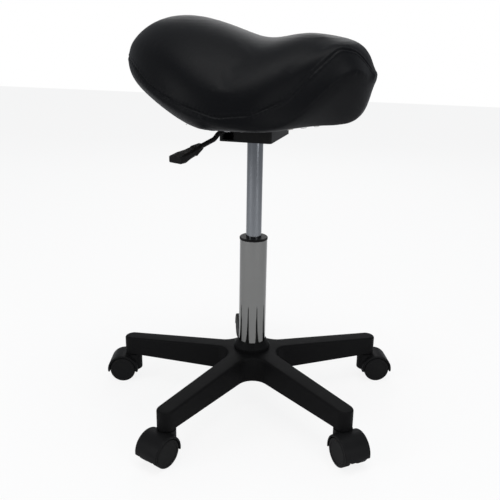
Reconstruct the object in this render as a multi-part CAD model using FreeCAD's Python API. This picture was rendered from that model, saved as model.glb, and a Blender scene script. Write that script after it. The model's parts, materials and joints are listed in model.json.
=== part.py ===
# Saddle stool: padded saddle on a gas lift, five-arm base, hooded twin-wheel casters.
# Millimetres. Origin on the floor under the column, +Z up, +X the way the rider faces.

import FreeCAD
import Part
import math
import os

V = FreeCAD.Vector
UP = V(0, 0, 1)
ORIGIN = V(0, 0, 0)

# Base
ARM_COUNT = 5
FIRST_ARM_ANGLE = 36.0
CASTER_CIRCLE_R = 250.0
ARM_HALF_WIDTH_HUB = 17.5
ARM_HALF_WIDTH_END = 15.5
ARM_BOTTOM_Z = 58.0
ARM_TOP_HUB_Z = 106.0
ARM_TOP_END_Z = 92.5
ARM_EDGE_R = 4.0
ARM_WALL = 5.5
RIB_THICKNESS = 3.5
RIB_BAYS = 4
CROTCH_R = 30.0
HUB_R = 34.0
HUB_TOP_R = 27.5
HUB_BOTTOM_Z = 56.0
HUB_TOP_Z = 122.0
HUB_SHOULDER_Z = 116.0
BOSS_BOTTOM_Z = 56.0

# Casters
WHEEL_R = 25.0
WHEEL_WIDTH = 15.0
WHEEL_GAP = 17.0
WHEEL_RIM = 3.2
WHEEL_FACE = 3.6
WHEEL_HUB_R = 6.5
FACE_RECESS = 0.6
TRAIL = 20.0
AXLE_R = 3.0
HOOD_WALL = 3.5
HOOD_CLEARANCE = 1.5
HOOD_EDGE_R = 2.0
HOOD_SKIRT_DROP = 4.0
NECK_R = 16.5
NECK_GAP = 1.5
STEM_R = 5.5
STEM_LOWER_R = 4.0
STEM_SOCKET_DEPTH = 23.0
STEM_LENGTH_IN_SOCKET = 21.5
STEM_LENGTH_IN_HOOD = 19.0
STEM_FLANGE_R = 8.0
STEM_FLANGE = 1.1
GRIP_RING_HEIGHT = 5.0
GRIP_RING_WALL = 0.9
CASTER_TURNS = [21.0, 114.0, 196.0, 249.0, 311.0]

# Gas lift
TUBE_R = 25.0
TUBE_WALL = 1.5
TUBE_BOTTOM_Z = 60.0
TUBE_TOP_Z = 322.0
TUBE_FLOOR = 2.5
TUBE_TAPER = 1.2
COLUMN_R = 14.0
COLUMN_WALL = 1.6
COLUMN_TAPER = 0.7
BUSH_FLANGE = 4.0
BUSH_FLANGE_PROUD = 0.7
BUSH_LAND = 24.0
BUSH_RELIEF = 1.5
LIFT_TRAVEL = 140.0
STOP_GAP = 5.0
COLUMN_TAIL = 2.0
ROD_R = 5.0
ROD_END_R = 4.0
PISTON_R = 9.95
PISTON_HEIGHT = 10.0
ROD_GUIDE_HEIGHT = 15.0
CYLINDER_WALL = 1.0
VALVE_HEIGHT = 56.0
BUTTON_R = 3.0
BUTTON_PROUD = 5.0
BUTTON_TRAVEL = 4.0
BUTTON_DEPTH = 23.0
BALL_R = 2.0
BALL_CIRCLE_R = 9.0
BALL_COUNT = 8
WASHER = 2.0
WASHER_R = 13.0
BUMPER_HEIGHT = 9.0
BUMPER_R = 12.0
CLIP_THICKNESS = 1.2
CLIP_R = 7.0

# Seat carrier
BOARD_Z = 536.0
BOARD_THICKNESS = 12.0
BOARD_FLAT_REAR = 38.0
BOARD_FLAT_FRONT = 50.0
BOARD_FRONT_ANGLE = 3.5
BOARD_BEND_R = 80.0
BOARD_RAMP_ANGLE = 26.0
BOARD_INSET = 12.0
PAN_DEPTH = 30.0
PAN_STEEL = 2.5
PAN_HALF_X = 45.0
PAN_HALF_Y = 65.0
PAN_FLANGE = 20.0
SOCKET_BOTTOM_Z = 500.0
SOCKET_R = 17.5
SOCKET_TOP_GAP = 2.0
BOLT_X = 20.0
BOLT_R = 3.0
BOLT_HEAD_R = 5.0
BOLT_HEAD = 4.0
LOCK_WASHER = 1.2
TEE_NUT_R = 4.5
TEE_FLANGE_R = 9.0
TEE_FLANGE = 1.5

# Lever
LEVER_AZIMUTH = 246.0
LEVER_ROD_R = 4.0
LEVER_HEADROOM = 2.0
LEVER_PIVOT_REACH = 48.0
LEVER_PIN_R = 2.0
LEVER_INNER_TAIL = 5.0
LEVER_BEND_REACH = 52.0
LEVER_SHOULDER_REACH = 94.0
LEVER_SHOULDER_Z = 522.0
LEVER_KNEE_REACH = 104.0
LEVER_KNEE_Z = 513.7
LEVER_ROD_END_REACH = 150.0
LEVER_ROD_END_Z = 501.6
LEVER_BEND_R = 16.0
EAR_GAP = 1.0
EAR_THICKNESS = 2.5
EAR_HALF_LENGTH = 6.0
LEVER_SLOT_WIDTH = 18.0
# The paddle's cross sections: reach, height above the rod's line, width, thickness, cut corner
PADDLE_SECTIONS = [
    (136.0, 0.0, 12.5, 10.5, 2.5),
    (143.0, -0.5, 17.0, 12.5, 3.5),
    (151.0, -1.2, 21.5, 14.0, 3.5),
    (153.0, -1.2, 18.5, 13.0, 3.5),
    (165.0, -1.2, 20.0, 13.5, 3.5),
    (178.0, -1.0, 25.5, 15.0, 3.5),
    (192.0, 0.6, 27.0, 10.5, 1.5),
]

# Saddle
SEAT_REAR_REACH = 219.0
SEAT_FRONT_REACH = 203.0
SEAT_HALF_WIDTH = 188.0
CANTLE_HEIGHT = 169.0
DIP_HEIGHT = 140.5
POMMEL_HEIGHT = 146.0
COVER_THICKNESS = 2.0
COVER_LIP = 26.0
DUST_COVER = 0.8
STAPLE_COUNT = 36
STAPLE_WIDTH = 10.0
STAPLE_LEG = 6.0
STAPLE_WIRE = 0.9
STAPLE_INSET = 19.0

# Clearances
RUNNING_FIT = 0.05
SEATED_FIT = 0.05
SOFT_GAP = 0.3
TOUCH_GAP = 0.1


def rad(angle):
    return math.radians(angle)


def turned(shape, angle, centre=ORIGIN, axis=UP):
    copy = shape.copy()
    copy.rotate(centre, axis, angle)
    return copy


def moved(shape, x=0.0, y=0.0, z=0.0):
    copy = shape.copy()
    copy.translate(V(x, y, z))
    return copy


def revolved(outline):
    """Solid of revolution about Z from (radius, height) corners."""
    points = [V(r, 0, z) for r, z in outline]
    face = Part.Face(Part.makePolygon(points + [points[0]]))
    return face.revolve(ORIGIN, UP, 360)


def ring(inner_r, outer_r, bottom, top):
    return revolved([(inner_r, bottom), (outer_r, bottom), (outer_r, top), (inner_r, top)])


def rod(radius, bottom, top, x=0.0, y=0.0):
    return Part.makeCylinder(radius, top - bottom, V(x, y, bottom))


def block(x0, x1, y0, y1, z0, z1):
    return Part.makeBox(x1 - x0, y1 - y0, z1 - z0, V(x0, y0, z0))


def side_prism(outline, y0, y1):
    """Prism along Y from (x, z) corners."""
    points = [V(x, y0, z) for x, z in outline]
    face = Part.Face(Part.makePolygon(points + [points[0]]))
    return face.extrude(V(0, y1 - y0, 0))


def polar(angle, reach, z=0.0):
    return V(reach * math.cos(rad(angle)), reach * math.sin(rad(angle)), z)


def smooth(knots, t):
    """Height of the smooth curve through (position, value) knots."""
    if t <= knots[0][0]:
        return knots[0][1]
    if t >= knots[-1][0]:
        return knots[-1][1]
    last = len(knots) - 1
    i = max(k for k in range(last) if knots[k][0] <= t)

    def slope(k):
        low = max(k - 1, 0)
        high = min(k + 1, last)
        return (knots[high][1] - knots[low][1]) / (knots[high][0] - knots[low][0])

    span = knots[i + 1][0] - knots[i][0]
    s = (t - knots[i][0]) / span
    start = (2 * s**3 - 3 * s**2 + 1) * knots[i][1] + (s**3 - 2 * s**2 + s) * span * slope(i)
    end = (3 * s**2 - 2 * s**3) * knots[i + 1][1] + (s**3 - s**2) * span * slope(i + 1)
    return start + end


# Places that several pieces share
BUSH_TOP_Z = TUBE_TOP_Z + BUSH_FLANGE
BEARING_Z = TUBE_BOTTOM_Z + TUBE_FLOOR
BALL_Z = BEARING_Z + WASHER + BALL_R
UPPER_WASHER_Z = BALL_Z + BALL_R + 0.02
ROD_SHOULDER_Z = UPPER_WASHER_Z + WASHER
CLIP_TOP_Z = TUBE_BOTTOM_Z - TOUCH_GAP
BUMPER_TOP_Z = ROD_SHOULDER_Z + TOUCH_GAP + BUMPER_HEIGHT
COLUMN_BOTTOM_Z = BUMPER_TOP_Z + STOP_GAP + LIFT_TRAVEL
BUSH_BOTTOM_Z = COLUMN_BOTTOM_Z - COLUMN_TAIL
LEVER_ROD_Z = BOARD_Z - LEVER_ROD_R - LEVER_HEADROOM
BUTTON_TOP_Z = LEVER_ROD_Z - LEVER_ROD_R - RUNNING_FIT
COLUMN_TOP_Z = BUTTON_TOP_Z - BUTTON_PROUD
PAN_BOTTOM_Z = BOARD_Z - PAN_DEPTH
WHEEL_OUT = WHEEL_GAP / 2 + WHEEL_WIDTH
WEB_HALF = WHEEL_GAP / 2 - 0.5
NECK_TOP_Z = BOSS_BOTTOM_Z - NECK_GAP
ARM_ANGLES = [FIRST_ARM_ANGLE + 360.0 / ARM_COUNT * k for k in range(ARM_COUNT)]


def tube_outer_r(z):
    """The outer tube's radius: straight, then tapering inside the hub."""
    if z >= HUB_SHOULDER_Z:
        return TUBE_R
    return TUBE_R - TUBE_TAPER * (HUB_SHOULDER_Z - z) / (HUB_SHOULDER_Z - TUBE_BOTTOM_Z)


def column_outer_r(z):
    """The column's radius: straight, then tapering inside the seat's socket."""
    if z <= SOCKET_BOTTOM_Z:
        return COLUMN_R
    return COLUMN_R - COLUMN_TAPER * (z - SOCKET_BOTTOM_Z) / (COLUMN_TOP_Z - SOCKET_BOTTOM_Z)


def arm_top_z(reach):
    slope = (ARM_TOP_HUB_Z - ARM_TOP_END_Z) / (CASTER_CIRCLE_R - HUB_R)
    return ARM_TOP_HUB_Z - slope * (reach - HUB_R)


def star_outline():
    """Plan of the five arms: tapered sides, round ends and an arc in each crotch."""
    run = CASTER_CIRCLE_R - HUB_R
    lean = math.atan2(ARM_HALF_WIDTH_HUB - ARM_HALF_WIDTH_END, run)
    normal = V(math.sin(lean), math.cos(lean), 0)
    corner = V(HUB_R, ARM_HALF_WIDTH_HUB, 0)
    half_step = rad(180.0 / ARM_COUNT)
    bisector = V(math.cos(half_step), math.sin(half_step), 0)
    reach = (CROTCH_R + corner.dot(normal)) / bisector.dot(normal)
    crotch_centre = bisector * reach
    crotch_start = crotch_centre - normal * CROTCH_R
    crotch_middle = bisector * (reach - CROTCH_R)
    tip = V(CASTER_CIRCLE_R, 0, 0)
    side_end = tip + normal * ARM_HALF_WIDTH_END
    tip_end = tip + V(ARM_HALF_WIDTH_END, 0, 0)

    def mirrored(p):
        return V(p.x, -p.y, p.z)

    def spun(p, k):
        return FreeCAD.Rotation(UP, ARM_ANGLES[k]).multVec(p)

    edges = []
    for k in range(ARM_COUNT):
        following = (k + 1) % ARM_COUNT
        edges.append(Part.LineSegment(spun(mirrored(crotch_start), k), spun(mirrored(side_end), k)).toShape())
        edges.append(Part.Arc(spun(mirrored(side_end), k), spun(tip_end, k), spun(side_end, k)).toShape())
        edges.append(Part.LineSegment(spun(side_end, k), spun(crotch_start, k)).toShape())
        ends = (spun(crotch_start, k), spun(crotch_middle, k), spun(mirrored(crotch_start), following))
        edges.append(Part.Arc(*ends).toShape())
    return Part.Wire(edges)


def top_edges(shape):
    """The long edges between the arms' sloping top and their upright sides."""
    found = []
    for edge in shape.Edges:
        box = edge.BoundBox
        middle = edge.valueAt((edge.FirstParameter + edge.LastParameter) / 2)
        reach = math.hypot(middle.x, middle.y)
        if box.ZMin > ARM_TOP_END_Z - 3 and abs(middle.z - arm_top_z(reach)) < 0.5:
            found.append(edge)
    return found


def star_base():
    body = Part.Face(star_outline()).extrude(V(0, 0, ARM_TOP_HUB_Z))
    body.translate(V(0, 0, ARM_BOTTOM_Z))
    reach = CASTER_CIRCLE_R + ARM_HALF_WIDTH_END + 5
    under_slope = revolved([(0, 0), (reach, 0), (reach, arm_top_z(reach)), (0, arm_top_z(0))])
    body = body.common(under_slope)
    body = body.makeFillet(ARM_EDGE_R, top_edges(body))
    hub = revolved([
        (0, HUB_BOTTOM_Z),
        (HUB_R, HUB_BOTTOM_Z),
        (HUB_R, HUB_SHOULDER_Z - 4),
        (HUB_TOP_R, HUB_TOP_Z),
        (0, HUB_TOP_Z),
    ])
    body = body.fuse(hub)
    first_bay = HUB_R + ARM_WALL * 2
    last_bay = CASTER_CIRCLE_R - ARM_HALF_WIDTH_END - ARM_WALL
    pitch = (last_bay - first_bay) / RIB_BAYS
    outer = ARM_HALF_WIDTH_END - ARM_WALL
    web = RIB_THICKNESS / 2
    for angle in ARM_ANGLES:
        tip = polar(angle, CASTER_CIRCLE_R)
        body = body.fuse(rod(ARM_HALF_WIDTH_END - 0.2, BOSS_BOTTOM_Z, ARM_BOTTOM_Z + 8, tip.x, tip.y))
        for bay in range(RIB_BAYS):
            near = first_bay + pitch * bay + web
            far = first_bay + pitch * (bay + 1) - web
            outline = [
                (near, HUB_BOTTOM_Z - 2),
                (far, HUB_BOTTOM_Z - 2),
                (far, arm_top_z(far) - ARM_WALL),
                (near, arm_top_z(near) - ARM_WALL),
            ]
            for y0, y1 in ((-outer, -web), (web, outer)):
                body = body.cut(turned(side_prism(outline, y0, y1), angle))
    for angle in ARM_ANGLES:
        tip = polar(angle, CASTER_CIRCLE_R)
        socket = rod(STEM_R + SEATED_FIT, BOSS_BOTTOM_Z - 1, BOSS_BOTTOM_Z + STEM_SOCKET_DEPTH, tip.x, tip.y)
        body = body.cut(socket)
    low = HUB_BOTTOM_Z - 1
    high = HUB_TOP_Z + 1
    bore = revolved([
        (0, low),
        (tube_outer_r(low) + SEATED_FIT, low),
        (tube_outer_r(HUB_SHOULDER_Z) + SEATED_FIT, HUB_SHOULDER_Z),
        (TUBE_R + SEATED_FIT, high),
        (0, high),
    ])
    return body.cut(bore).removeSplitter()


def caster_stems():
    groove_low = BOSS_BOTTOM_Z + 8
    groove_high = groove_low + GRIP_RING_HEIGHT + 0.2
    groove_r = STEM_R - GRIP_RING_WALL - TOUCH_GAP
    stem = revolved([
        (0, NECK_TOP_Z - STEM_LENGTH_IN_HOOD),
        (STEM_LOWER_R, NECK_TOP_Z - STEM_LENGTH_IN_HOOD),
        (STEM_LOWER_R, BOSS_BOTTOM_Z - STEM_FLANGE),
        (STEM_FLANGE_R, BOSS_BOTTOM_Z - STEM_FLANGE),
        (STEM_FLANGE_R, BOSS_BOTTOM_Z),
        (STEM_R, BOSS_BOTTOM_Z),
        (STEM_R, groove_low),
        (groove_r, groove_low),
        (groove_r, groove_high),
        (STEM_R, groove_high),
        (STEM_R, BOSS_BOTTOM_Z + STEM_LENGTH_IN_SOCKET - 1),
        (STEM_R - 1, BOSS_BOTTOM_Z + STEM_LENGTH_IN_SOCKET),
        (0, BOSS_BOTTOM_Z + STEM_LENGTH_IN_SOCKET),
    ])
    return Part.makeCompound([stem.translated(polar(a, CASTER_CIRCLE_R)) for a in ARM_ANGLES])


def grip_rings():
    low = BOSS_BOTTOM_Z + 8 + TOUCH_GAP
    grip = ring(STEM_R - GRIP_RING_WALL, STEM_R, low, low + GRIP_RING_HEIGHT)
    slit = block(0, STEM_R + 2, -1.2, 1.2, low - 1, low + GRIP_RING_HEIGHT + 1)
    split_ring = grip.cut(slit)
    return Part.makeCompound([split_ring.translated(polar(a, CASTER_CIRCLE_R)) for a in ARM_ANGLES])


def across(radius, y0, y1, x=TRAIL, z=WHEEL_R):
    """Cylinder along the axle direction."""
    return Part.makeCylinder(radius, y1 - y0, V(x, y0, z), V(0, 1, 0))


def caster_hood():
    envelope_r = WHEEL_R + HOOD_CLEARANCE
    crown_r = envelope_r + HOOD_WALL
    half = WHEEL_OUT + 0.5
    skirt_z = WHEEL_R - HOOD_SKIRT_DROP
    dome = across(crown_r, -half, half)
    dome = dome.makeFillet(HOOD_EDGE_R, [e for e in dome.Edges if e.Length > 3 * crown_r and e.Closed])
    dome = dome.cut(block(-60, 80, -half - 1, half + 1, -20, skirt_z))
    neck = rod(NECK_R, skirt_z, NECK_TOP_Z)
    neck = neck.makeFillet(HOOD_EDGE_R, [e for e in neck.Edges if e.Closed and e.BoundBox.ZMax < skirt_z + 1])
    shell = dome.fuse(neck)
    for side in (-1, 1):
        inner = side * WEB_HALF
        outer = side * (half + 5)
        shell = shell.cut(across(envelope_r, min(inner, outer), max(inner, outer)))
    web = across(crown_r - 4, -WEB_HALF, WEB_HALF)
    web = web.cut(block(-60, 80, -WEB_HALF - 1, WEB_HALF + 1, -20, WHEEL_R * 0.55))
    hood = shell.fuse(web)
    hood = hood.cut(across(AXLE_R + 0.01, -WEB_HALF - 1, WEB_HALF + 1))
    bore_floor = NECK_TOP_Z - STEM_LENGTH_IN_HOOD - 0.5
    return hood.cut(rod(STEM_LOWER_R + RUNNING_FIT, bore_floor, NECK_TOP_Z + 2)).removeSplitter()


def caster_wheel(side):
    inner = WHEEL_GAP / 2
    outer = WHEEL_OUT
    bore_r = AXLE_R + RUNNING_FIT
    bore_end = outer - WHEEL_FACE + 1.2
    rim_in = WHEEL_R - WHEEL_RIM
    outline = [
        (bore_r, inner + 0.2),
        (WHEEL_HUB_R, inner + 0.2),
        (WHEEL_HUB_R, outer - WHEEL_FACE),
        (rim_in, outer - WHEEL_FACE),
        (rim_in, inner),
        (WHEEL_R - 1.2, inner),
        (WHEEL_R, inner + 1.2),
        (WHEEL_R, outer - 2.0),
        (WHEEL_R - 0.6, outer - 0.6),
        (WHEEL_R - 2.0, outer),
        (rim_in - 2.0, outer),
        (rim_in - 2.6, outer - FACE_RECESS),
        (0, outer - FACE_RECESS),
        (0, bore_end),
        (bore_r, bore_end),
    ]
    wheel = revolved(outline)
    wheel.rotate(ORIGIN, V(1, 0, 0), -90 * side)
    wheel.translate(V(TRAIL, 0, WHEEL_R))
    return wheel


def caster_axle():
    reach = WHEEL_OUT - WHEEL_FACE + 0.8
    return across(AXLE_R, -reach, reach)


def outer_tube():
    inner = TUBE_R - TUBE_WALL
    floor_top = TUBE_BOTTOM_Z + TUBE_FLOOR
    hole_r = ROD_END_R + 0.6
    return revolved([
        (hole_r, TUBE_BOTTOM_Z),
        (tube_outer_r(TUBE_BOTTOM_Z), TUBE_BOTTOM_Z),
        (TUBE_R, HUB_SHOULDER_Z),
        (TUBE_R, TUBE_TOP_Z),
        (inner, TUBE_TOP_Z),
        (inner, HUB_SHOULDER_Z),
        (tube_outer_r(TUBE_BOTTOM_Z) - TUBE_WALL, floor_top),
        (hole_r, floor_top),
    ])


def guide_bush():
    bore_r = COLUMN_R + RUNNING_FIT
    sleeve_r = TUBE_R - TUBE_WALL - SEATED_FIT
    flange_r = TUBE_R + BUSH_FLANGE_PROUD
    return revolved([
        (bore_r, BUSH_BOTTOM_Z),
        (sleeve_r, BUSH_BOTTOM_Z),
        (sleeve_r, TUBE_TOP_Z),
        (flange_r, TUBE_TOP_Z),
        (flange_r, BUSH_TOP_Z - 1.0),
        (flange_r - 1.0, BUSH_TOP_Z),
        (bore_r, BUSH_TOP_Z),
        (bore_r, BUSH_TOP_Z - BUSH_LAND),
        (bore_r + BUSH_RELIEF, BUSH_TOP_Z - BUSH_LAND - 2),
        (bore_r + BUSH_RELIEF, BUSH_BOTTOM_Z + BUSH_LAND + 2),
        (bore_r, BUSH_BOTTOM_Z + BUSH_LAND),
    ])


def column_tube():
    inner = COLUMN_R - COLUMN_WALL
    return revolved([
        (inner, COLUMN_BOTTOM_Z),
        (COLUMN_R, COLUMN_BOTTOM_Z),
        (COLUMN_R, SOCKET_BOTTOM_Z),
        (column_outer_r(COLUMN_TOP_Z), COLUMN_TOP_Z),
        (inner, COLUMN_TOP_Z),
    ])


def rod_guide():
    low = COLUMN_BOTTOM_Z + 1
    return ring(ROD_R + RUNNING_FIT, COLUMN_R - COLUMN_WALL - SEATED_FIT, low, low + ROD_GUIDE_HEIGHT)


PISTON_Z = COLUMN_BOTTOM_Z + 1 + ROD_GUIDE_HEIGHT + 2
VALVE_BOTTOM_Z = COLUMN_TOP_Z - VALVE_HEIGHT


def inner_cylinder():
    bore = PISTON_R + RUNNING_FIT
    low = COLUMN_BOTTOM_Z + 1 + ROD_GUIDE_HEIGHT + TOUCH_GAP
    return ring(bore, bore + CYLINDER_WALL, low, VALVE_BOTTOM_Z - TOUCH_GAP)


def valve_body():
    outer = COLUMN_R - COLUMN_WALL - SEATED_FIT
    pin_floor = COLUMN_TOP_Z - BUTTON_DEPTH - BUTTON_TRAVEL - 1
    body = rod(outer, VALVE_BOTTOM_Z, COLUMN_TOP_Z)
    return body.cut(rod(BUTTON_R + RUNNING_FIT, pin_floor, COLUMN_TOP_Z + 1))


def release_button():
    low = COLUMN_TOP_Z - BUTTON_DEPTH
    pin = rod(BUTTON_R, low, BUTTON_TOP_Z)
    dome_r = BUTTON_R * 2
    dome = Part.makeSphere(dome_r, V(0, 0, BUTTON_TOP_Z - dome_r))
    core = rod(BUTTON_R + 1, low - 1, BUTTON_TOP_Z - dome_r)
    tip = dome.common(rod(BUTTON_R, BUTTON_TOP_Z - dome_r, BUTTON_TOP_Z + 1))
    return pin.common(core.fuse(tip)).removeSplitter()


def lower_washer():
    return ring(ROD_END_R + 0.6, WASHER_R, BEARING_Z, BEARING_Z + WASHER - 0.02)


def upper_washer():
    return ring(ROD_END_R + SEATED_FIT, WASHER_R, UPPER_WASHER_Z, ROD_SHOULDER_Z)


def ball_places():
    return [polar(360.0 / BALL_COUNT * k, BALL_CIRCLE_R, BALL_Z) for k in range(BALL_COUNT)]


def bearing_balls():
    return Part.makeCompound([Part.makeSphere(BALL_R, place) for place in ball_places()])


def ball_cage():
    cage = ring(ROD_END_R + 1.0, WASHER_R - 0.5, BALL_Z - 0.6, BALL_Z + 0.6)
    for place in ball_places():
        cage = cage.cut(rod(BALL_R + RUNNING_FIT, BALL_Z - 2, BALL_Z + 2, place.x, place.y))
    return cage


def rod_bumper():
    return ring(ROD_R + SEATED_FIT, BUMPER_R, BUMPER_TOP_Z - BUMPER_HEIGHT, BUMPER_TOP_Z)


def piston_rod():
    groove_r = ROD_END_R - 0.8
    groove_low = CLIP_TOP_Z - CLIP_THICKNESS - TOUCH_GAP
    return revolved([
        (0, groove_low - 3),
        (ROD_END_R, groove_low - 3),
        (ROD_END_R, groove_low),
        (groove_r, groove_low),
        (groove_r, CLIP_TOP_Z + TOUCH_GAP),
        (ROD_END_R, CLIP_TOP_Z + TOUCH_GAP),
        (ROD_END_R, ROD_SHOULDER_Z),
        (ROD_R, ROD_SHOULDER_Z),
        (ROD_R, PISTON_Z),
        (ROD_END_R, PISTON_Z),
        (ROD_END_R, PISTON_Z + PISTON_HEIGHT + 2),
        (0, PISTON_Z + PISTON_HEIGHT + 2),
    ])


def piston():
    return ring(ROD_END_R + SEATED_FIT, PISTON_R, PISTON_Z, PISTON_Z + PISTON_HEIGHT)


def retaining_clip():
    clip = ring(ROD_END_R - 0.8 + SEATED_FIT, CLIP_R, CLIP_TOP_Z - CLIP_THICKNESS, CLIP_TOP_Z)
    mouth = block(0, CLIP_R + 1, -1.5, 1.5, CLIP_TOP_Z - 3, CLIP_TOP_Z + 1)
    return clip.cut(mouth)


def taper_socket():
    top = COLUMN_TOP_Z - SOCKET_TOP_GAP
    return revolved([
        (COLUMN_R + SEATED_FIT, SOCKET_BOTTOM_Z),
        (SOCKET_R - 1.5, SOCKET_BOTTOM_Z),
        (SOCKET_R, SOCKET_BOTTOM_Z + 1.5),
        (SOCKET_R, top),
        (column_outer_r(top) + SEATED_FIT, top),
    ])


def bolt_places():
    reach = PAN_HALF_Y + PAN_FLANGE / 2
    return [(x, y) for x in (-BOLT_X, BOLT_X) for y in (-reach, reach)]


def mounting_pan():
    """Pressed steel pan, open upwards, with a bolted flange at each end."""
    top = BOARD_Z - TOUCH_GAP
    steel = PAN_STEEL
    reach_x = PAN_HALF_X
    reach_y = PAN_HALF_Y
    pan = block(-reach_x, reach_x, -reach_y, reach_y, PAN_BOTTOM_Z, top)
    upright = [e for e in pan.Edges if e.BoundBox.ZLength > PAN_DEPTH / 2]
    pan = pan.makeFillet(2 * steel, upright)
    hollow = block(-reach_x + steel, reach_x - steel, -reach_y + steel, reach_y - steel, PAN_BOTTOM_Z + steel, top + 1)
    hollow = hollow.makeFillet(steel, [e for e in hollow.Edges if e.BoundBox.ZLength > PAN_DEPTH / 2])
    pan = pan.cut(hollow)
    for side in (-1, 1):
        inner = side * (reach_y - steel)
        outer = side * (reach_y + PAN_FLANGE)
        flange = block(-reach_x, reach_x, min(inner, outer), max(inner, outer), top - steel, top)
        pan = pan.fuse(flange)
    pan = pan.cut(rod(SOCKET_R + SEATED_FIT, PAN_BOTTOM_Z - 1, PAN_BOTTOM_Z + steel + 1))
    for x, y in bolt_places():
        pan = pan.cut(rod(BOLT_R + 0.4, top - steel - 1, top + 1, x, y))
    slot_low = PAN_BOTTOM_Z + steel + 0.5
    half = LEVER_SLOT_WIDTH / 2
    slot = block(PAN_HALF_Y * 0.8, PAN_HALF_Y * 1.35, -half, half, slot_low, top - steel - 0.5)
    return pan.cut(turned(slot, LEVER_AZIMUTH)).removeSplitter()


def ear_offset():
    return LEVER_ROD_R + EAR_GAP


def lever_bracket():
    """Two ears standing on the pan's floor, one each side of the lever."""
    low = PAN_BOTTOM_Z + PAN_STEEL + TOUCH_GAP
    high = BOARD_Z - 1.0
    near = LEVER_PIVOT_REACH - EAR_HALF_LENGTH
    far = LEVER_PIVOT_REACH + EAR_HALF_LENGTH
    offset = ear_offset()
    outer = offset + EAR_THICKNESS
    bracket = block(near, far, -outer, outer, low, low + EAR_THICKNESS)
    for side in (-1, 1):
        ear = block(near, far, min(side * offset, side * outer), max(side * offset, side * outer), low, high)
        bracket = bracket.fuse(ear)
    hole = Part.makeCylinder(LEVER_PIN_R + 0.01, 4 * outer, V(LEVER_PIVOT_REACH, -2 * outer, LEVER_ROD_Z), V(0, 1, 0))
    return turned(bracket.cut(hole).removeSplitter(), LEVER_AZIMUTH)


def lever_pin():
    reach = ear_offset() + EAR_THICKNESS + 1.0
    start = V(LEVER_PIVOT_REACH, -reach, LEVER_ROD_Z)
    return turned(Part.makeCylinder(LEVER_PIN_R, 2 * reach, start, V(0, 1, 0)), LEVER_AZIMUTH)


def bent_path(points, bend_r):
    """Wire of straight runs joined by tangent arcs."""
    edges = []
    start = points[0]
    for i in range(1, len(points) - 1):
        before = (points[i] - points[i - 1]).normalize()
        after = (points[i + 1] - points[i]).normalize()
        turn = before.getAngle(after)
        setback = bend_r * math.tan(turn / 2)
        arc_start = points[i] - before * setback
        arc_end = points[i] + after * setback
        inward = (after - before).normalize()
        middle = points[i] + inward * (bend_r / math.cos(turn / 2) - bend_r)
        edges.append(Part.LineSegment(start, arc_start).toShape())
        edges.append(Part.Arc(arc_start, middle, arc_end).toShape())
        start = arc_end
    edges.append(Part.LineSegment(start, points[-1]).toShape())
    return Part.Wire(edges)


def lever_rod():
    path = bent_path([
        V(-LEVER_INNER_TAIL, 0, LEVER_ROD_Z),
        V(LEVER_BEND_REACH, 0, LEVER_ROD_Z),
        V(LEVER_SHOULDER_REACH, 0, LEVER_SHOULDER_Z),
        V(LEVER_KNEE_REACH, 0, LEVER_KNEE_Z),
        V(LEVER_ROD_END_REACH, 0, LEVER_ROD_END_Z),
    ], LEVER_BEND_R)
    circle = Part.Wire(Part.makeCircle(LEVER_ROD_R, V(-LEVER_INNER_TAIL, 0, LEVER_ROD_Z), V(1, 0, 0)))
    bar = path.makePipeShell([circle], True, False)
    hole = Part.makeCylinder(LEVER_PIN_R + RUNNING_FIT, 20, V(LEVER_PIVOT_REACH, -10, LEVER_ROD_Z), V(0, 1, 0))
    return turned(bar.cut(hole), LEVER_AZIMUTH)


def lever_line_z(reach):
    """Height of the lever's outer run, which the paddle follows."""
    slope = (LEVER_ROD_END_Z - LEVER_KNEE_Z) / (LEVER_ROD_END_REACH - LEVER_KNEE_REACH)
    return LEVER_KNEE_Z + slope * (reach - LEVER_KNEE_REACH)


def paddle_section(reach, z, width, height, corner):
    """Eight-sided section across the paddle, its corners cut off."""
    half_w = width / 2
    half_h = height / 2
    outline = [
        (half_w, -half_h + corner),
        (half_w, half_h - corner),
        (half_w - corner, half_h),
        (-half_w + corner, half_h),
        (-half_w, half_h - corner),
        (-half_w, -half_h + corner),
        (-half_w + corner, -half_h),
        (half_w - corner, -half_h),
    ]
    points = [V(reach, y, z + dz) for y, dz in outline]
    return Part.makePolygon(points + [points[0]])


def lever_paddle():
    sections = []
    for reach, lift, width, thickness, corner in PADDLE_SECTIONS:
        sections.append(paddle_section(reach, lever_line_z(reach) + lift, width, thickness, corner))
    paddle = Part.makeLoft(sections, True, True)
    start = V(LEVER_KNEE_REACH, 0, LEVER_KNEE_Z)
    along = V(LEVER_ROD_END_REACH, 0, LEVER_ROD_END_Z) - start
    socket = Part.makeCylinder(LEVER_ROD_R + SEATED_FIT, along.Length + 1, start, along)
    return turned(paddle.cut(socket), LEVER_AZIMUTH)


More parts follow.
